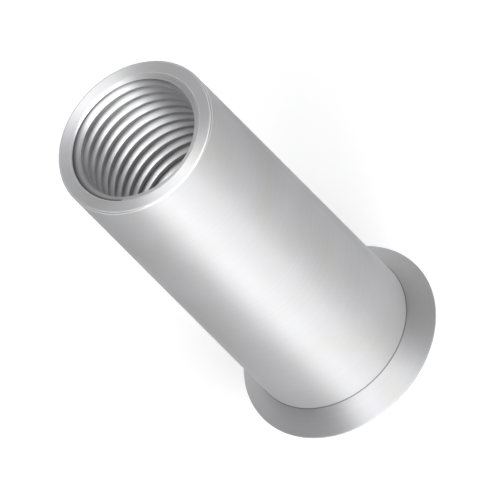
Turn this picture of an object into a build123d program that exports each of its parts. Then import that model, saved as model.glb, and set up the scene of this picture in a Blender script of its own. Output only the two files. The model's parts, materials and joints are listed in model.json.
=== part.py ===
from build123d import *
from build123d.topology import SkipClean
from math import ceil, radians, tan
import os

# Rivet nut: a one-piece internally threaded tubular rivet with a countersunk head.
#
# The nut is one turned and tapped solid. Its plain round shank drops through a hole in a sheet and the
# conical head seats in the countersink of that hole. A pulling tool then draws the tapped length at the
# far end towards the head, until the thin plain length between them folds outwards behind the sheet.
#
# Frame: the origin is the centre of the flat head face, and +Z runs along the axis to the threaded end.
# All lengths are in millimetres and all angles in degrees.

# Thread: metric fine M10 x 1, right hand, tapped through the far end of the shank.
THREAD_DIAMETER = 10.0  # nominal diameter, at the roots of the internal thread
THREAD_PITCH = 1.0
THREAD_ANGLE = 60.0  # between the flanks
THREAD_HEIGHT_SHARE = 5 / 8  # basic depth, as a share of the height of the flanks' sharp triangle
ROOT_FLAT_SHARE = 1 / 8  # width of the flat at the roots, as a share of the pitch
THREAD_LENGTH = 14.0  # from the open end down to the plain bore's cone
CREST_RELIEF = 0.041  # how far the tapping drill opens the crests beyond the basic profile
THREAD_START = 10.0  # where around the axis each turn begins

# Shank: the plain bore is the part that folds, so its wall is thin and even.
BOLT_CLEARANCE = 0.2  # radial room for the bolt in the plain bore
SHANK_WALL = 0.8  # around the plain bore
SHANK_LENGTH = 28.9  # from the head's cone to the open end

# Head: a cone that widens to a narrow cylindrical rim at the flat face.
HEAD_ANGLE = 90.0  # between the sides of the cone
HEAD_OVERHANG = 1.5  # how far the rim stands out past the shank
HEAD_RIM = 0.12  # height of the cylindrical rim

# Edges.
LEAD_IN_ANGLE = 120.0  # between the sides of the cones that lead into the thread from both ends
MOUTH_RELIEF = 0.05  # how far the open end's cone starts outside the thread's roots
FACE_CHAMFER = 0.2  # where the plain bore meets the flat head face
RIM_BREAK = 0.04  # both edges of the rim
NECK_RADIUS = 0.12  # in the corner between the head and the shank
END_CHAMFER = 0.1  # outer corner of the open end

# How the thread is cut: a solid screw of the thread's form is taken out of a blank with a smaller hole.
LENGTHS_PER_TURN = 4  # equal lengths that each turn of the screw is built from
RUN_ON = 1.5  # turns that the screw starts before the tapped length
RUN_OUT = 0.5  # turns that it goes on past the open end, at the least
PILOT_SHARE = 0.8  # radius of the blank's hole, as a share of the crests' radius

# Sizes that follow from the ones above.
root_radius = THREAD_DIAMETER / 2
flank_slope = tan(radians(THREAD_ANGLE / 2))  # axial rise for each unit of thread depth
sharp_height = THREAD_PITCH / 2 / flank_slope
crest_radius = root_radius - THREAD_HEIGHT_SHARE * sharp_height + CREST_RELIEF
pilot_radius = PILOT_SHARE * crest_radius
plain_bore_radius = root_radius + BOLT_CLEARANCE
mouth_radius = root_radius + MOUTH_RELIEF
shank_radius = plain_bore_radius + SHANK_WALL
head_radius = shank_radius + HEAD_OVERHANG
head_height = HEAD_RIM + HEAD_OVERHANG / tan(radians(HEAD_ANGLE / 2))
overall_length = head_height + SHANK_LENGTH
thread_bottom = overall_length - THREAD_LENGTH
length_rise = THREAD_PITCH / LENGTHS_PER_TURN
length_turn = 360 / LENGTHS_PER_TURN


def cone_depth(wide_radius: float, narrow_radius: float) -> float:
    """Axial length of a lead-in cone between two radii."""
    return (wide_radius - narrow_radius) / tan(radians(LEAD_IN_ANGLE / 2))


step_bottom = thread_bottom - cone_depth(plain_bore_radius, crest_radius)


def turned_blank() -> Part:
    """The nut before it is tapped: its half section, turned about the axis."""
    cone_slope = tan(radians(HEAD_ANGLE / 2))  # radius gained for each unit of head height
    corners = [
        (plain_bore_radius + FACE_CHAMFER, 0),
        (head_radius - RIM_BREAK, 0),
        (head_radius, RIM_BREAK),
        (head_radius, HEAD_RIM - RIM_BREAK),
        (head_radius - RIM_BREAK * cone_slope, HEAD_RIM + RIM_BREAK),
        (shank_radius, head_height),
        (shank_radius, overall_length - END_CHAMFER),
        (shank_radius - END_CHAMFER, overall_length),
        (mouth_radius, overall_length),
        (pilot_radius, overall_length - cone_depth(mouth_radius, pilot_radius)),
        (pilot_radius, step_bottom + cone_depth(plain_bore_radius, pilot_radius)),
        (plain_bore_radius, step_bottom),
        (plain_bore_radius, FACE_CHAMFER),
    ]
    half_section = make_face(Plane.XZ * Polyline(corners, close=True))
    neck = half_section.vertices().filter_by_position(Axis.Z, head_height, head_height)
    return revolve(fillet(neck, NECK_RADIUS), Axis.Z)


def helix(radius: float, level: float) -> Edge:
    """One length of a helix of the thread's pitch, which starts at this level over the X axis."""
    return Edge.make_helix(THREAD_PITCH, length_rise, radius, center=(0, 0, level))


def round_band(radius: float, low: float, high: float) -> Face:
    """The strip of a cylinder between two helices, over one length: a crest or a root."""
    below, above = helix(radius, low), helix(radius, high)
    sides = [Edge.make_line(below @ end, above @ end) for end in (0, 1)]
    spare = length_turn / 9  # the wall is drawn a little past both ends of its length, then trimmed
    floor = Plane.XY.offset(low - THREAD_PITCH)
    arc = Edge.make_circle(radius, floor, start_angle=-spare, end_angle=length_turn + spare)
    wall = Face.extrude(arc, (0, 0, high - low + 3 * THREAD_PITCH))
    return wall.split_by_perimeter(Wire([below, sides[1], above, sides[0]]), Keep.INSIDE)


def tapped_space() -> Solid:
    """The space inside the thread: a solid screw, run on past both ends of the tapped length.

    Four bands follow each other up the thread's profile: the lower flank, the root, the upper flank and
    the crest. They are made for one length of a turn and repeated up the helix. A helical cap and a flat
    one close each end of the screw.
    """
    flank_rise = (root_radius - crest_radius) * flank_slope
    root_low, root_high = flank_rise, flank_rise + ROOT_FLAT_SHARE * THREAD_PITCH
    crest_low = root_high + flank_rise
    bands = [
        Face.make_surface_from_curves(helix(crest_radius, 0), helix(root_radius, root_low)),
        round_band(root_radius, root_low, root_high),
        Face.make_surface_from_curves(helix(root_radius, root_high), helix(crest_radius, crest_low)),
        round_band(crest_radius, crest_low, THREAD_PITCH),
    ]
    helical_cap = Face.make_surface_from_curves(
        helix(crest_radius, 0), Edge.make_line((0, 0, 0), (0, 0, length_rise))
    )
    profile = [
        (0, 0),
        (crest_radius, 0),
        (root_radius, root_low),
        (root_radius, root_high),
        (crest_radius, crest_low),
        (crest_radius, THREAD_PITCH),
        (0, THREAD_PITCH),
    ]
    flat_cap = make_face(Plane.XZ * Polyline(profile, close=True)).face()

    start = step_bottom - RUN_ON * THREAD_PITCH
    turns = ceil((overall_length - start) / THREAD_PITCH + RUN_OUT)
    steps = [
        Pos(0, 0, start + step * length_rise) * Rot(0, 0, step * length_turn)
        for step in range((turns + 1) * LENGTHS_PER_TURN)
    ]
    # the last turn of steps carries no bands, because it only places the caps at the screw's top
    first_turn, last_turn = steps[:LENGTHS_PER_TURN], steps[-LENGTHS_PER_TURN:]
    faces = [step * band for step in steps[:-LENGTHS_PER_TURN] for band in bands]
    faces += [step * helical_cap for step in first_turn + last_turn]
    faces += [turn[0] * flat_cap for turn in (first_turn, last_turn)]
    return Solid(Shell(faces)).rotate(Axis.Z, THREAD_START)


with SkipClean():  # the thread's faces stay one short length each
    rivet_nut = turned_blank() - tapped_space()

os.makedirs("parts", exist_ok=True)
export_step(rivet_nut, "parts/rivet_nut.step")
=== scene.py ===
"""Looks of a countersunk rivet nut: one turned, tapped and zinc-plated steel piece.

The nut stands on its head on a pale studio floor. This script draws the form of its CAD solid as
one fine surface, so that the helical thread, the small edge rounds and the turned finish show. The
length, the shank, the plain bore and the head take their sizes from the CAD model, and the sizes of
the thread and of the edges are written here. All are in millimetres inside the classes and become
metres only when a mesh, a lamp or the camera is made.
"""

import json
import logging
import math
from dataclasses import dataclass, field
from enum import Enum

import bmesh
import bpy
import numpy as np
from mathutils import Matrix, Vector


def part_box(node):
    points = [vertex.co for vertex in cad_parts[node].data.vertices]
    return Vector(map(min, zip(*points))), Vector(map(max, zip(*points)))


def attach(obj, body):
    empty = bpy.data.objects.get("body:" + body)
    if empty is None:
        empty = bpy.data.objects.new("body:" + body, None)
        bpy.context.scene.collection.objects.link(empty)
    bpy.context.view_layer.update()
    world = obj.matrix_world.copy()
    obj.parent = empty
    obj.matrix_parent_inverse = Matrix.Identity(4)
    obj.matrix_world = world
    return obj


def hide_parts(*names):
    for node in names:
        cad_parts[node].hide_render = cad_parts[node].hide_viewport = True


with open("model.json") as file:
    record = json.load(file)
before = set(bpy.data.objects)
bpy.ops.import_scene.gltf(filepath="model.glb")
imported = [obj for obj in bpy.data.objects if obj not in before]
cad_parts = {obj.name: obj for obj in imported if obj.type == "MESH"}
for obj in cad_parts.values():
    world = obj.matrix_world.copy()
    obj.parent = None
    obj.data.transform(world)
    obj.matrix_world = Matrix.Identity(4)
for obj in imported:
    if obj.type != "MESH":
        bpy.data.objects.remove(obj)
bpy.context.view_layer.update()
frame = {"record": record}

MM = 0.001
NODE = "rivet_nut"
CAD_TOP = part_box(NODE)[1]
MOUNTS = {mount["name"]: mount for mount in frame["record"]["mounts"]}
log = logging.getLogger(NODE)


def mount_radius(name: str) -> float:
    """Radius of one of the record's round mounts, in millimetres."""
    return MOUNTS[name]["dims"]["r_mm"]


def linear(hex_colour: str) -> tuple[float, float, float, float]:
    """Turn an sRGB hex colour into linear RGBA.

    By the sRGB curve, a value up to 0.04045 is divided by 12.92, and any other has 0.055 added, is
    divided by 1.055 and raised to the power 2.4.

    Args:
        hex_colour: six hex digits after a hash sign.

    Returns:
        Linear red, green and blue, and an alpha of 1.
    """
    srgb = [int(hex_colour[at:at + 2], 16) / 255 for at in (1, 3, 5)]
    return (*[c / 12.92 if c <= 0.04045 else ((c + 0.055) / 1.055) ** 2.4 for c in srgb], 1.0)


def add_node(tree: bpy.types.NodeTree, kind: str,
             links: dict[str | int, bpy.types.NodeSocket] | None = None,
             values: dict[str | int, object] | None = None,
             **settings: str | bool) -> bpy.types.Node:
    """Add one shader node with its settings, its constants and its incoming links.

    Args:
        tree: the node tree to add to.
        kind: the node's type name.
        links: output socket for each input, by the input's name or number.
        values: constant for each input, by the input's name or number.
        **settings: properties of the node itself.

    Returns:
        The new node.
    """
    node = tree.nodes.new(kind)
    for name, value in settings.items():
        setattr(node, name, value)
    for name, value in (values or {}).items():
        node.inputs[name].default_value = value
    for name, socket in (links or {}).items():
        tree.links.new(socket, node.inputs[name])
    return node


class Cut(Enum):
    """How a face of the nut was made; the number is its material's place on the mesh."""

    TURNED = 0
    TAPPED = 1
    EDGE = 2


@dataclass(frozen=True)
class ClearZincSteel:
    """Low-carbon steel with clear (blue-white) zinc plating, over turned or tapped faces.

    Bright zinc over fine turning lines gives a satin grey metal. The lines run around the axis, so
    each highlight is drawn out along the profile: a straight streak down the shank and a bow-tie on
    the end face. The passivated zinc wavers between a bluish and a faintly yellow tint. A painted
    shade darkens the thread's roots and the corner under the head, partly standing for the thinner
    plating there. Edges are burnished by tumbling.
    """

    cut: Cut = Cut.TURNED
    zinc: str = "#DADADD"
    zinc_warm: str = "#D8D8D7"
    # colour of the painted shade in the thread's roots and the corner under the head, partly standing
    # for thinner plating
    zinc_painted_shade: str = "#5A5A5E"
    painted_shade_share: float = 0.6  # how much of the painted shade's colour shows in the deepest roots and under the head
    roughness: float = 0.6
    rough_clouds: float = 0.02  # how far the roughness wavers in the clouds
    rough_lines: float = 0.03  # and from line to line
    anisotropy: float = 0.9
    line_spacing: float = 0.24  # mm; real feed marks are 0.05 to 0.1 apart, drawn coarser to show
    line_depth: float = 0.0012  # mm
    line_shade: float = 0.03  # how much lighter and darker the lines are than the zinc
    line_range: tuple[float, float] = (0.25, 0.75)  # part of the lines' noise that is drawn in full
    line_octaves: float = 4.0  # finer lines among the lines
    line_octave_share: float = 0.65  # how strong each finer set is beside the last
    cloud_size: float = 4.0  # mm across a cloud of the passivated layer
    tint_range: tuple[float, float] = (0.35, 0.65)  # part of the clouds in which the tint turns
    rough_range: tuple[float, float] = (0.3, 0.7)  # part of the clouds in which the roughness turns
    cloud_octaves: float = 3.0
    grain_size: float = 0.15  # mm; the plating's own grain is finer, drawn coarser to show
    grain_depth: float = 0.0003  # mm
    grain_octaves: float = 2.0
    octave_share: float = 0.5  # for the clouds and the grain, as line_octave_share is for the lines
    painted_shade_onset: float = 0.3  # share of the thread's depth at which the painted shade begins

    def build(self) -> bpy.types.Material:
        """Make the material.

        Returns:
            A node material that reads the piece's profile UV map, Object coordinates and the
            mask of painted shade in the roots and under the head.
        """
        material = bpy.data.materials.new(f"clear_zinc_steel_{self.cut.name.lower()}")
        material.use_nodes = True
        tree = material.node_tree
        tree.nodes.clear()

        place = add_node(tree, "ShaderNodeTexCoord")
        profile = add_node(tree, "ShaderNodeUVMap", uv_map="profile")
        along = add_node(tree, "ShaderNodeSeparateXYZ", {0: profile.outputs["UV"]})
        lines = add_node(tree, "ShaderNodeTexNoise", {"W": along.outputs["X"]},
                         {"Scale": 1 / self.line_spacing, "Detail": self.line_octaves,
                          "Roughness": self.line_octave_share}, noise_dimensions="1D")
        clouds = add_node(tree, "ShaderNodeTexNoise", {"Vector": place.outputs["Object"]},
                          {"Scale": 1 / (self.cloud_size * MM), "Detail": self.cloud_octaves,
                           "Roughness": self.octave_share})
        grain = add_node(tree, "ShaderNodeTexNoise", {"Vector": place.outputs["Object"]},
                         {"Scale": 1 / (self.grain_size * MM), "Detail": self.grain_octaves,
                          "Roughness": self.octave_share})
        # mask of painted shade: the thread's root depth and the corner under the head
        painted_shade_mask = add_node(tree, "ShaderNodeAttribute", attribute_name="thin_plating")

        # colour: two passivated tints in clouds, a shade that runs in lines, and painted shade in the
        # roots and the corner under the head
        tint = add_node(tree, "ShaderNodeMapRange", {"Value": clouds.outputs["Fac"]},
                        {"From Min": self.tint_range[0], "From Max": self.tint_range[1]})
        plated = add_node(tree, "ShaderNodeMix", {"Factor": tint.outputs["Result"]},
                          {"A": linear(self.zinc), "B": linear(self.zinc_warm)}, data_type="RGBA")
        shade = add_node(tree, "ShaderNodeMapRange", {"Value": lines.outputs["Fac"]},
                         {"From Min": self.line_range[0], "From Max": self.line_range[1],
                          "To Min": 1 - self.line_shade, "To Max": 1 + self.line_shade})
        lined = add_node(tree, "ShaderNodeVectorMath",
                         {0: plated.outputs["Result"], "Scale": shade.outputs["Result"]},
                         operation="SCALE")
        # painted shade: darkens the thread's roots and the corner under the head towards the dark
        # zinc colour
        painted_darkening = add_node(tree, "ShaderNodeMapRange", {"Value": painted_shade_mask.outputs["Fac"]},
                        {"From Min": self.painted_shade_onset, "To Max": self.painted_shade_share},
                        interpolation_type="SMOOTHSTEP")
        colour = add_node(tree, "ShaderNodeMix",
                          {"Factor": painted_darkening.outputs["Result"], "A": lined.outputs["Vector"]},
                          {"B": linear(self.zinc_painted_shade)}, data_type="RGBA")

        # roughness: a little more and less in the clouds and from line to line
        cloudy = add_node(tree, "ShaderNodeMapRange", {"Value": clouds.outputs["Fac"]},
                          {"From Min": self.rough_range[0], "From Max": self.rough_range[1],
                           "To Min": self.roughness - self.rough_clouds,
                           "To Max": self.roughness + self.rough_clouds})
        uneven = add_node(tree, "ShaderNodeMapRange", {"Value": lines.outputs["Fac"]},
                          {"From Min": self.line_range[0], "From Max": self.line_range[1],
                           "To Min": -self.rough_lines, "To Max": self.rough_lines})
        rough = add_node(tree, "ShaderNodeMath",
                         {0: cloudy.outputs["Result"], 1: uneven.outputs["Result"]}, operation="ADD")

        # relief: the turning lines, and the plating's grain over them
        grooves = add_node(tree, "ShaderNodeBump", {"Height": lines.outputs["Fac"]},
                           {"Strength": 1.0, "Distance": self.line_depth * MM})
        relief = add_node(tree, "ShaderNodeBump",
                          {"Height": grain.outputs["Fac"], "Normal": grooves.outputs["Normal"]},
                          {"Strength": 1.0, "Distance": self.grain_depth * MM})
        lay = add_node(tree, "ShaderNodeTangent", direction_type="UV_MAP", uv_map="profile")
        shader = add_node(tree, "ShaderNodeBsdfPrincipled",
                          {"Base Color": colour.outputs["Result"], "Roughness": rough.outputs[0],
                           "Normal": relief.outputs["Normal"], "Tangent": lay.outputs["Tangent"]},
                          {"Metallic": 1.0, "Anisotropic": self.anisotropy})
        add_node(tree, "ShaderNodeOutputMaterial", {"Surface": shader.outputs[0]})
        return material


@dataclass(frozen=True)
class PaleFloorPaint:
    """Matt white studio floor paint, rolled: an even pale surface that carries the nut's shadow.

    A little of its own light, in views and reflections alone, brings the unlit corners up to white.
    From below it is clear, and so is what all but touches the nut's flat face, so that the face can
    be looked at.
    """

    colour: str = "#FFFFFF"
    lift: float = 0.14  # strength of its own light
    touch: float = 0.1  # mm; light that has come no further than this passes through

    def build(self) -> bpy.types.Material:
        """Make the floor's material.

        Returns:
            A node material that is paint from above and clear from below.
        """
        material = bpy.data.materials.new("matt_white_floor_paint")
        material.use_nodes = True
        tree = material.node_tree
        tree.nodes.clear()
        paint = add_node(tree, "ShaderNodeBsdfDiffuse", None, {"Color": linear(self.colour)})
        path = add_node(tree, "ShaderNodeLightPath")
        glossy, passed = path.outputs["Is Glossy Ray"], path.outputs["Is Transmission Ray"]
        mirrored = add_node(tree, "ShaderNodeMath", {0: glossy, 1: passed}, operation="ADD")
        seen = add_node(tree, "ShaderNodeMath",
                        {0: path.outputs["Is Camera Ray"], 1: mirrored.outputs[0]}, operation="ADD")
        level = add_node(tree, "ShaderNodeMath", {0: seen.outputs[0]}, {1: self.lift},
                         operation="MULTIPLY")
        lift = add_node(tree, "ShaderNodeEmission", {"Strength": level.outputs[0]},
                        {"Color": linear(self.colour)})
        above = add_node(tree, "ShaderNodeAddShader", {0: paint.outputs[0], 1: lift.outputs[0]})
        clear = add_node(tree, "ShaderNodeBsdfTransparent")
        side = add_node(tree, "ShaderNodeNewGeometry")
        near = add_node(tree, "ShaderNodeMath", {0: path.outputs["Ray Length"]},
                        {1: self.touch * MM}, operation="LESS_THAN")
        through = add_node(tree, "ShaderNodeMath",
                           {0: side.outputs["Backfacing"], 1: near.outputs[0]}, operation="MAXIMUM")
        both = add_node(tree, "ShaderNodeMixShader",
                        {0: through.outputs[0], 1: above.outputs[0], 2: clear.outputs[0]})
        add_node(tree, "ShaderNodeOutputMaterial", {"Surface": both.outputs[0]})
        return material


def round_corners(corners: np.ndarray, radii: np.ndarray, steps: int,
                  support: float = 0) -> tuple[np.ndarray, np.ndarray]:
    """Replace the inner corners of a path by arcs that touch both of the runs that meet there.

    With a and b the directions back and ahead from a corner and h half the angle between them, the
    arc starts radius / tan(h) from the corner and its centre lies radius / sin(h) away along a + b.
    A point at share k of the arc is the centre plus (sin((1-k)t) S + sin(kt) E) / sin(t), where S
    and E reach from the centre to the arc's ends and t is the angle between them.

    Args:
        corners: the path's points, one row each.
        radii: arc radius for each inner corner.
        steps: straight pieces in each arc.
        support: distance from an arc to an extra point on each side of it, or 0 for none.

    Returns:
        The rounded path's points, one row each, and for each point the number of the corner whose
        arc it is on, or -1.
    """
    at, back, ahead = corners[1:-1], corners[:-2] - corners[1:-1], corners[2:] - corners[1:-1]
    back /= np.linalg.norm(back, axis=1, keepdims=True)
    ahead /= np.linalg.norm(ahead, axis=1, keepdims=True)
    half = np.arccos(np.clip((back * ahead).sum(1), -1, 1)) / 2
    reach = (radii / np.tan(half))[:, None]
    middle = (back + ahead) / np.linalg.norm(back + ahead, axis=1, keepdims=True)
    centre = at + middle * (radii / np.sin(half))[:, None]
    first, last = at + back * reach - centre, at + ahead * reach - centre
    turn = (math.pi - 2 * half)[:, None, None]
    share = np.linspace(0, 1, steps + 1)[None, :, None]
    arcs = centre[:, None] + (
        np.sin((1 - share) * turn) * first[:, None] + np.sin(share * turn) * last[:, None]
    ) / np.sin(turn)
    owner = np.repeat(np.arange(len(at))[:, None], steps + 1, axis=1)
    if support:
        before = at + back * (reach + support)
        after = at + ahead * (reach + support)
        arcs = np.concatenate([before[:, None], arcs, after[:, None]], axis=1)
        owner = np.pad(owner, ((0, 0), (1, 1)), constant_values=-1)
    path = np.vstack([corners[:1], arcs.reshape(-1, 2), corners[-1:]])
    return path, np.pad(owner.ravel(), 1, constant_values=-1)


def divide_runs(path: np.ndarray, longest: float) -> tuple[np.ndarray, np.ndarray]:
    """Divide each run of a path that is longer than a limit into equal pieces.

    A run of length l gets l / longest pieces, rounded up, and a point at each equal share along it.

    Args:
        path: the path's points, one row each.
        longest: the longest piece.

    Returns:
        The path's points with the new ones among them, and the run that each piece is a part of.
    """
    slack = 1e-9  # so that rounding doesn't divide a run that is just as long as the limit
    step = np.diff(path, axis=0)
    pieces = np.maximum(np.ceil(np.linalg.norm(step, axis=1) / longest - slack), 1).astype(int)
    run = np.repeat(np.arange(len(pieces)), pieces)
    nth = np.arange(pieces.sum()) - np.repeat(np.cumsum(pieces) - pieces, pieces)
    return np.vstack([path[run] + step[run] * (nth / pieces[run])[:, None], path[-1:]]), run


@dataclass
class TurnedOutside:
    """Everything the lathe cuts: end face, shank, countersunk head, flat face and plain bore."""

    overall_length: float = CAD_TOP.z / MM
    shank_radius: float = mount_radius("shank")
    bore_radius: float = mount_radius("plain_bore")
    head_radius: float = CAD_TOP.x / MM
    head_height: float = MOUNTS["countersunk_seat"]["pos_m"][2] / MM
    rim_height: float = 0.12
    face_chamfer: float = 0.2
    lip_radius: float = 0.03
    end_round: float = 0.13
    neck_round: float = 0.12
    rim_round: float = 0.045
    chamfer_round: float = 0.04
    neck_corner: int = 2  # place of the neck among the profile's inner corners
    arc_steps: int = 5
    arc_support: float = 0.012  # from a round to an added point that keeps its shading off the face
    longest_run: float = 2.0  # of one mesh face along the profile

    def half_section(self, lip: tuple[float, float], mouth: float,
                     step: float) -> tuple[np.ndarray, np.ndarray, np.ndarray]:
        """Work out the profile from the mouth, over the outside, to the far end of the plain bore.

        It is a path of straight runs whose inner corners are rounded.

        Args:
            lip: radius and height where the profile starts, on the mouth's cone.
            mouth: radius where the mouth's cone meets the end face.
            step: height where the plain bore ends.

        Returns:
            Radius and height of each point of the profile in order, whether each piece between two
            points rounds an outer edge, and whether each point lies in the corner under the head.
        """
        top, foot = self.overall_length, 0.0
        corners = np.array([
            lip,
            (mouth, top),
            (self.shank_radius, top),
            (self.shank_radius, self.head_height),
            (self.head_radius, self.rim_height),
            (self.head_radius, foot),
            (self.bore_radius + self.face_chamfer, foot),
            (self.bore_radius, self.face_chamfer),
            (self.bore_radius, step),
        ])
        radii = np.array([self.lip_radius, self.end_round, self.neck_round, self.rim_round,
                          self.rim_round, self.chamfer_round, self.chamfer_round])
        rounded, corner = round_corners(corners, radii, self.arc_steps, self.arc_support)
        path, run = divide_runs(rounded, self.longest_run)
        corner_of_run = np.where(corner[:-1] == corner[1:], corner[:-1], -1)[run]
        edge = (corner_of_run >= 0) & (corner_of_run != self.neck_corner)
        neck = np.zeros(len(path), dtype=bool)
        neck[:-1] |= corner_of_run == self.neck_corner
        neck[1:] |= corner_of_run == self.neck_corner
        return path, edge, neck


@dataclass
class TappedThread:
    """The internal thread, M10 x 1 right hand, from the mouth's cone to the plain bore's cone."""

    nominal_radius: float = 5.0
    pitch: float = 1.0
    flank_angle: float = 60.0
    height_share: float = 5 / 8  # basic depth, as a share of the flanks' sharp triangle's height
    crest_relief: float = 0.041  # how far the tapping drill opens the crests past the basic form
    root_flat: float = 0.125
    root_round: float = 0.09
    crest_round: float = 0.04
    arc_steps: int = 3
    start_angle: float = 10.0
    length: float = 14.0
    run_on: float = 1.5  # turns that the form is carried on below the plain bore's cone
    turns: int = 17  # of the form in all, enough to pass the mouth
    cone_angle: float = 120.0
    cone_rows: int = 5  # even rows that finish each cone
    mouth_relief: float = 0.05
    mouth_height: float = CAD_TOP.z / MM
    bore_radius: float = mount_radius("plain_bore")
    trials: int = 3000  # steps along a cone in the search for where the thread comes out on it
    tolerance: float = 1e-7  # how far inside the cone the thread still counts as out on it

    @property
    def crest_radius(self) -> float:
        """Radius at the crests, which the tapping drill opens a little."""
        sharp_height = self.pitch / 2 / math.tan(math.radians(self.flank_angle / 2))
        return self.nominal_radius - self.height_share * sharp_height + self.crest_relief

    @property
    def cone_slope(self) -> float:
        """Radius that a lead-in cone gains for each millimetre of height."""
        return math.tan(math.radians(self.cone_angle / 2))

    @property
    def mouth_radius(self) -> float:
        """Radius where the mouth's cone meets the end face."""
        return self.nominal_radius + self.mouth_relief

    @property
    def lip(self) -> tuple[float, float]:
        """Radius and height on the mouth's cone just outside the deepest root."""
        return self.nominal_radius, self.mouth_height - self.mouth_relief / self.cone_slope

    @property
    def step_height(self) -> float:
        """Height where the plain bore ends and its cone begins."""
        cone_depth = (self.bore_radius - self.crest_radius) / self.cone_slope
        return self.mouth_height - self.length - cone_depth

    @property
    def first_crest_end(self) -> float:
        """Height of the lowest crest's upper edge, over the start angle."""
        return self.step_height - self.run_on * self.pitch

    def one_pitch(self) -> np.ndarray:
        """Work out the thread's form over one pitch: flank, root, flank and crest, with rounds.

        Returns:
            Height above the crest's upper edge, and radius, for each row; the next pitch repeats
            them.
        """
        flank_slope = math.tan(math.radians(self.flank_angle / 2))
        rise = (self.nominal_radius - self.crest_radius) * flank_slope
        crest = self.pitch - self.root_flat - 2 * rise
        heights = np.cumsum([-crest / 2, crest / 2, rise, self.root_flat, rise, crest / 2])
        reach = np.repeat([self.crest_radius, self.nominal_radius, self.crest_radius], 2)
        radii = np.array([self.crest_round, self.root_round, self.root_round, self.crest_round])
        return round_corners(np.column_stack([heights, reach]), radii, self.arc_steps)[0][1:-1]

    def meeting(self, wide: tuple[float, float], way: int,
                climb: np.ndarray) -> tuple[np.ndarray, np.ndarray]:
        """Find where the thread comes out on a lead-in cone, for every column.

        Along a cone, the radius falls from its wide end by cone_slope for each millimetre. The
        thread comes out at the first of many even steps along the cone at which it is as wide as
        the cone or wider.

        Args:
            wide: radius and height of the cone's wide end.
            way: 1 where the cone narrows upwards, and -1 where it narrows downwards.
            climb: how far the helix has climbed in each column.

        Returns:
            Radius and height of the meeting point in each column.
        """
        radius, height = wide
        form = self.one_pitch()
        passed = np.linspace(0, (radius - self.crest_radius) / self.cone_slope, self.trials)
        cone = radius - passed * self.cone_slope
        past = (height + way * passed)[:, None] - self.first_crest_end - climb[None, :]
        thread = np.interp(past, form[:, 0], form[:, 1], period=self.pitch)
        first = np.argmax(thread >= cone[:, None] - self.tolerance, axis=0)
        return cone[first], height + way * passed[first]

    def rows(self, angles: np.ndarray) -> tuple[np.ndarray, np.ndarray, np.ndarray]:
        """Work out the tapped surface on rows that climb with the helix.

        A row at offset s lies at height s + pitch * angle / 360 and has the radius of the thread's
        form at s. A row that would pass a lead-in cone stops where the thread comes out on that
        cone. Even rows then finish each cone, out to the plain bore and to the lip.

        Args:
            angles: the angle of each column around the axis, in radians.

        Returns:
            Radius, height and root depth (0 at a crest, 1 at a root) of each row and column.
        """
        form = self.one_pitch()
        climb = self.pitch * (angles - math.radians(self.start_angle)) / (2 * math.pi)
        above = np.arange(self.turns)[:, None] * self.pitch + form[None, :, 0]
        height = self.first_crest_end + above.ravel()[:, None] + climb[None, :]
        radius = np.repeat(np.tile(form[:, 1], self.turns)[:, None], len(angles), axis=1)

        bore_end = self.bore_radius, self.step_height
        top_radius, top = self.meeting(self.lip, -1, climb)
        low_radius, low = self.meeting(bore_end, 1, climb)
        radius = np.where(height > top, top_radius, np.where(height < low, low_radius, radius))
        height = np.clip(height, low, top)
        full_depth = self.nominal_radius - self.crest_radius
        depth = np.clip((radius - self.crest_radius) / full_depth, 0, 1)

        radius = np.vstack([np.linspace(bore_end[0], low_radius, self.cone_rows), radius,
                            np.linspace(top_radius, self.lip[0], self.cone_rows)])
        height = np.vstack([np.linspace(bore_end[1], low, self.cone_rows), height,
                            np.linspace(top, self.lip[1], self.cone_rows)])
        return radius, height, np.pad(depth, ((self.cone_rows, self.cone_rows), (0, 0)))


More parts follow.
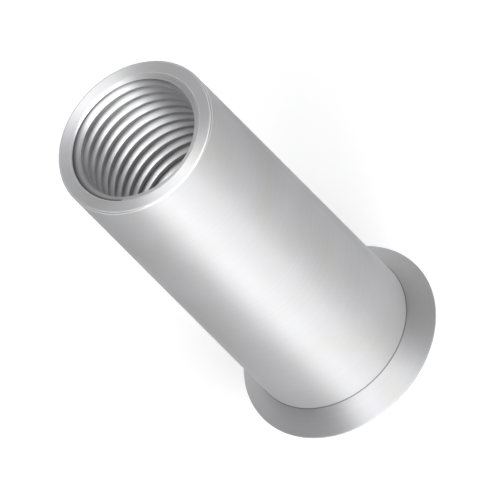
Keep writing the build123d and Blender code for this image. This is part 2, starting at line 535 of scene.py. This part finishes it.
@dataclass
class RivetNut:
    """The whole nut: the turned outside and the tapped thread, closed into one surface."""

    name: str = "rivet_nut_turned_and_tapped"
    columns: int = 240  # around the axis
    neck_shade: float = 1.0  # how strong the painted shade is in the corner under the head
    merge_distance: float = 0.0001
    sharp_angle: float = 32.0  # degrees; an edge that turns further than this is shaded sharp
    outside: TurnedOutside = field(default_factory=TurnedOutside)
    thread: TappedThread = field(default_factory=TappedThread)
    finishes: tuple[ClearZincSteel, ...] = (
        ClearZincSteel(),
        # the tapped zinc is set lighter than the turned zinc as painted light in the deep bore, and
        # its painted shade in the roots is stronger
        ClearZincSteel(cut=Cut.TAPPED, zinc="#E3E3E6", zinc_warm="#E1E1E0", painted_shade_share=0.8,
                       roughness=0.45, anisotropy=0.7, line_spacing=0.14, line_depth=0.0006),
        ClearZincSteel(cut=Cut.EDGE, zinc="#E7E7EA", zinc_warm="#E5E5E4", roughness=0.34,
                       anisotropy=0.3, line_shade=0.015),
    )

    def surface(self) -> tuple[np.ndarray, np.ndarray, np.ndarray, np.ndarray]:
        """Work out the closed surface as a grid: rows along the profile, columns around the axis.

        A point lies at (radius * cos(angle), radius * sin(angle), height). The rows run up the
        thread, out over the end face, down the shank and the head, in over the flat face and up the
        plain bore.

        Returns:
            The points in metres, the profile UVs (length along the profile in mm, share of a turn),
            how strong the painted shade is at each point, and the cut of the faces between each two
            rows.
        """
        angles = np.linspace(0, 2 * math.pi, self.columns + 1)
        radius, height, recess = self.thread.rows(angles)
        section, edge, neck = self.outside.half_section(
            self.thread.lip, self.thread.mouth_radius, self.thread.step_height)
        cut = np.concatenate([np.full(len(radius) - 1, Cut.TAPPED.value),
                              np.where(edge, Cut.EDGE.value, Cut.TURNED.value)])
        level = np.ones(len(angles))  # turned rows stay level, where the thread's climb
        radius = np.vstack([radius, section[1:, :1] * level])
        height = np.vstack([height, section[1:, 1:] * level])
        # painted shade mask: the thread's root depth, and the corner under the head
        painted_shade_mask = np.vstack([recess, neck[1:, None] * self.neck_shade * level])
        points = np.stack([radius * np.cos(angles), radius * np.sin(angles), height], axis=-1) * MM
        stride = np.hypot(np.diff(radius, axis=0), np.diff(height, axis=0)).mean(axis=1)
        along = np.concatenate([[0], np.cumsum(stride)])
        turn_share = angles[None, :] / (2 * math.pi)
        uvs = np.stack(np.broadcast_arrays(along[:, None], turn_share), axis=-1)
        return points, uvs, painted_shade_mask, cut

    def mesh(self) -> bpy.types.Mesh:
        """Put the surface into a mesh, close its seams and mark its sharp edges.

        Returns:
            The nut's mesh, with a profile UV map and a mask of painted shade in the roots and under
            the head.
        """
        points, uvs, painted_shade_mask, cut = self.surface()
        rows, columns = points.shape[:2]
        corner = (np.arange(rows - 1)[:, None] * columns + np.arange(columns - 1)[None, :]).ravel()
        quads = np.column_stack([corner, corner + 1, corner + columns + 1, corner + columns])
        mesh = bpy.data.meshes.new(self.name)
        mesh.from_pydata(points.reshape(-1, 3), [], quads.tolist())
        mesh.polygons.foreach_set("material_index", np.repeat(cut, columns - 1).astype(np.int32))
        layer = mesh.uv_layers.new(name="profile")
        at = np.empty(len(mesh.loops), dtype=np.int32)
        mesh.loops.foreach_get("vertex_index", at)
        layer.data.foreach_set("uv", uvs.reshape(-1, 2)[at].ravel())
        # mask of painted shade, strongest in the thread's roots and the corner under the head
        mask = mesh.attributes.new("thin_plating", "FLOAT", "POINT")
        mask.data.foreach_set("value", painted_shade_mask.ravel())
        self.close(mesh)
        mesh.shade_smooth()
        mesh.set_sharp_from_angle(angle=math.radians(self.sharp_angle))
        return mesh

    def close(self, mesh: bpy.types.Mesh) -> None:
        """Merge the points along the seams, turn the faces outwards and report on the closed shell.

        Args:
            mesh: the surface as a grid whose first and last rows and columns coincide.
        """
        shell = bmesh.new()
        shell.from_mesh(mesh)
        bmesh.ops.remove_doubles(shell, verts=shell.verts, dist=self.merge_distance * MM)
        bmesh.ops.dissolve_degenerate(shell, edges=shell.edges, dist=self.merge_distance * MM)
        bmesh.ops.recalc_face_normals(shell, faces=shell.faces)
        open_edges = sum(not edge.is_manifold for edge in shell.edges)
        volume = shell.calc_volume(signed=True) / MM ** 3
        log.info("%s: open edges %d, volume %.0f mm3", self.name, open_edges, volume)
        shell.to_mesh(mesh)
        shell.free()

    def build(self) -> bpy.types.Object:
        """Make the nut, dress it and put it in the place of its CAD solid.

        Returns:
            The finished piece.
        """
        piece = bpy.data.objects.new(self.name, self.mesh())
        bpy.context.scene.collection.objects.link(piece)
        for finish in self.finishes:
            piece.data.materials.append(finish.build())
        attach(piece, "root")
        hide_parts(NODE)
        return piece


@dataclass
class Softbox:
    """One soft studio lamp: a square panel that faces the nut."""

    name: str
    azimuth: float  # degrees around from the camera's side, positive towards -X
    elevation: float  # degrees above the floor
    watts: float
    side: float = 120.0
    distance: float = 260.0  # from the point that it is aimed at
    aim_height: float = 15.0  # half way up the nut
    colour: str = "#FFFFFF"

    def build(self) -> bpy.types.Object:
        """Hang the lamp and aim it at the middle of the nut.

        Returns:
            The lamp's object.
        """
        turn, tilt = math.radians(self.azimuth), math.radians(self.elevation)
        outward = math.cos(tilt)
        way = Vector((-math.sin(turn) * outward, -math.cos(turn) * outward, math.sin(tilt)))
        lamp = bpy.data.lights.new(self.name, "AREA")
        lamp.shape, lamp.size, lamp.energy = "SQUARE", self.side * MM, self.watts
        lamp.color = linear(self.colour)[:3]
        holder = bpy.data.objects.new(self.name, lamp)
        bpy.context.scene.collection.objects.link(holder)
        holder.location = Vector((0, 0, self.aim_height * MM)) + way * self.distance * MM
        holder.rotation_euler = way.to_track_quat("Z", "Y").to_euler()
        return holder


@dataclass
class Studio:
    """Pale floor, soft sky and lamps."""

    floor_half: float = 1500.0
    floor_gap: float = 0.02  # how far the floor lies under the nut, so that the two don't coincide
    paint: PaleFloorPaint = field(default_factory=PaleFloorPaint)
    cove: str = "#FFFFFF"
    horizon: str = "#303032"
    zenith: str = "#8A8A8C"
    zenith_level: float = 0.9  # level, 0 at the horizon and 1 overhead, that has the zenith's colour
    cove_levels: tuple[float, float] = (0.01, 0.08)  # where the white cove starts and ends its fade
    glow: str = "#FFFFFF"
    glow_azimuth: float = 28.0  # degrees around from the camera's side, positive towards -X
    glow_edge: float = 0.2  # cosine of the angle from the glow's middle at which it has faded away
    glow_strength: float = 0.41
    lamps: tuple[Softbox, ...] = (
        Softbox("key_softbox", azimuth=28, elevation=36, watts=0.115),
        Softbox("front_softbox", azimuth=14, elevation=38, watts=0.4, side=320),
        Softbox("back_softbox", azimuth=180, elevation=60, watts=0.14, side=140),
        Softbox("fill_softbox", azimuth=-60, elevation=45, watts=0.045, side=260),
        Softbox("bore_softbox", azimuth=-42, elevation=75, watts=0.22),  # shines down into the thread
    )

    def build_floor(self) -> bpy.types.Object:
        """Lay the floor just under the nut's flat face.

        Returns:
            The floor's object.
        """
        half, level = self.floor_half * MM, -self.floor_gap * MM
        corners = [(x * half, y * half, level) for x, y in ((-1, -1), (1, -1), (1, 1), (-1, 1))]
        mesh = bpy.data.meshes.new("studio_floor")
        mesh.from_pydata(corners, [], [(0, 1, 2, 3)])
        mesh.materials.append(self.paint.build())
        floor = bpy.data.objects.new("studio_floor", mesh)
        bpy.context.scene.collection.objects.link(floor)
        return floor

    def build_sky(self) -> bpy.types.World:
        """Make the sky: grey, brighter overhead and on the key side, over a cove that is white.

        Returns:
            The scene's world.
        """
        world = bpy.data.worlds.new("studio_sky")
        bpy.context.scene.world = world
        world.use_nodes = True
        tree = world.node_tree
        tree.nodes.clear()
        way = add_node(tree, "ShaderNodeTexCoord")
        up = add_node(tree, "ShaderNodeSeparateXYZ", {0: way.outputs["Generated"]})
        fade = add_node(tree, "ShaderNodeMapRange", {"Value": up.outputs["Z"]},
                        {"From Max": self.zenith_level})
        tint = add_node(tree, "ShaderNodeMix", {"Factor": fade.outputs["Result"]},
                        {"A": linear(self.horizon), "B": linear(self.zenith)}, data_type="RGBA")
        turn = math.radians(self.glow_azimuth)
        facing = add_node(tree, "ShaderNodeVectorMath", {0: way.outputs["Generated"]},
                          {1: (-math.sin(turn), -math.cos(turn), 0.0)}, operation="DOT_PRODUCT")
        wide = add_node(tree, "ShaderNodeMapRange", {"Value": facing.outputs["Value"]},
                        {"From Min": self.glow_edge, "To Max": self.glow_strength},
                        interpolation_type="SMOOTHSTEP")
        wall = add_node(tree, "ShaderNodeMix",
                        {"Factor": wide.outputs["Result"], "A": tint.outputs["Result"]},
                        {"B": linear(self.glow)},
                        data_type="RGBA", blend_type="ADD", clamp_factor=False)
        rise = add_node(tree, "ShaderNodeMapRange", {"Value": up.outputs["Z"]},
                        {"From Min": self.cove_levels[0], "From Max": self.cove_levels[1]},
                        interpolation_type="SMOOTHSTEP")
        room = add_node(tree, "ShaderNodeMix",
                        {"Factor": rise.outputs["Result"], "B": wall.outputs["Result"]},
                        {"A": linear(self.cove)}, data_type="RGBA")
        light = add_node(tree, "ShaderNodeBackground", {"Color": room.outputs["Result"]})
        add_node(tree, "ShaderNodeOutputWorld", {"Surface": light.outputs[0]})
        return world

    def build(self) -> None:
        """Set up floor, sky and lamps."""
        self.build_floor()
        self.build_sky()
        for lamp in self.lamps:
            lamp.build()


@dataclass
class ProductCamera:
    """A parallel-view camera that looks down at the open end, rolled so that the nut lies askew."""

    elevation: float = 48.8
    roll: float = 45.0
    aim: tuple[float, float, float] = (0.104, 0.0, 13.58)
    frame_width: float = 34.56
    distance: float = 300.0
    clip_start: float = 10.0
    clip_end: float = 10000.0

    def build(self) -> bpy.types.Object:
        """Make the camera and give it to the scene.

        Returns:
            The camera's object.
        """
        tilt, roll = math.radians(self.elevation), math.radians(self.roll)
        back = Vector((0, -math.cos(tilt), math.sin(tilt)))
        level, rising = Vector((1, 0, 0)), Vector((0, math.sin(tilt), math.cos(tilt)))
        right = level * math.cos(roll) - rising * math.sin(roll)
        up = level * math.sin(roll) + rising * math.cos(roll)
        lens = bpy.data.cameras.new("product_camera")
        lens.type, lens.ortho_scale = "ORTHO", self.frame_width * MM
        lens.clip_start, lens.clip_end = self.clip_start * MM, self.clip_end * MM
        camera = bpy.data.objects.new("product_camera", lens)
        bpy.context.scene.collection.objects.link(camera)
        place = Vector(self.aim) * MM + back * self.distance * MM
        camera.matrix_world = Matrix((
            (right.x, up.x, back.x, place.x), (right.y, up.y, back.y, place.y),
            (right.z, up.z, back.z, place.z), (0, 0, 0, 1)))
        bpy.context.scene.camera = camera
        return camera


def main() -> None:
    """Build the nut and its studio."""
    logging.basicConfig(level=logging.INFO)
    scene = bpy.context.scene
    scene.view_settings.view_transform = "Standard"
    nut = RivetNut().build()
    log.info("%s: %d faces", nut.name, len(nut.data.polygons))
    Studio().build()
    ProductCamera().build()


if __name__ == "__main__":
    main()
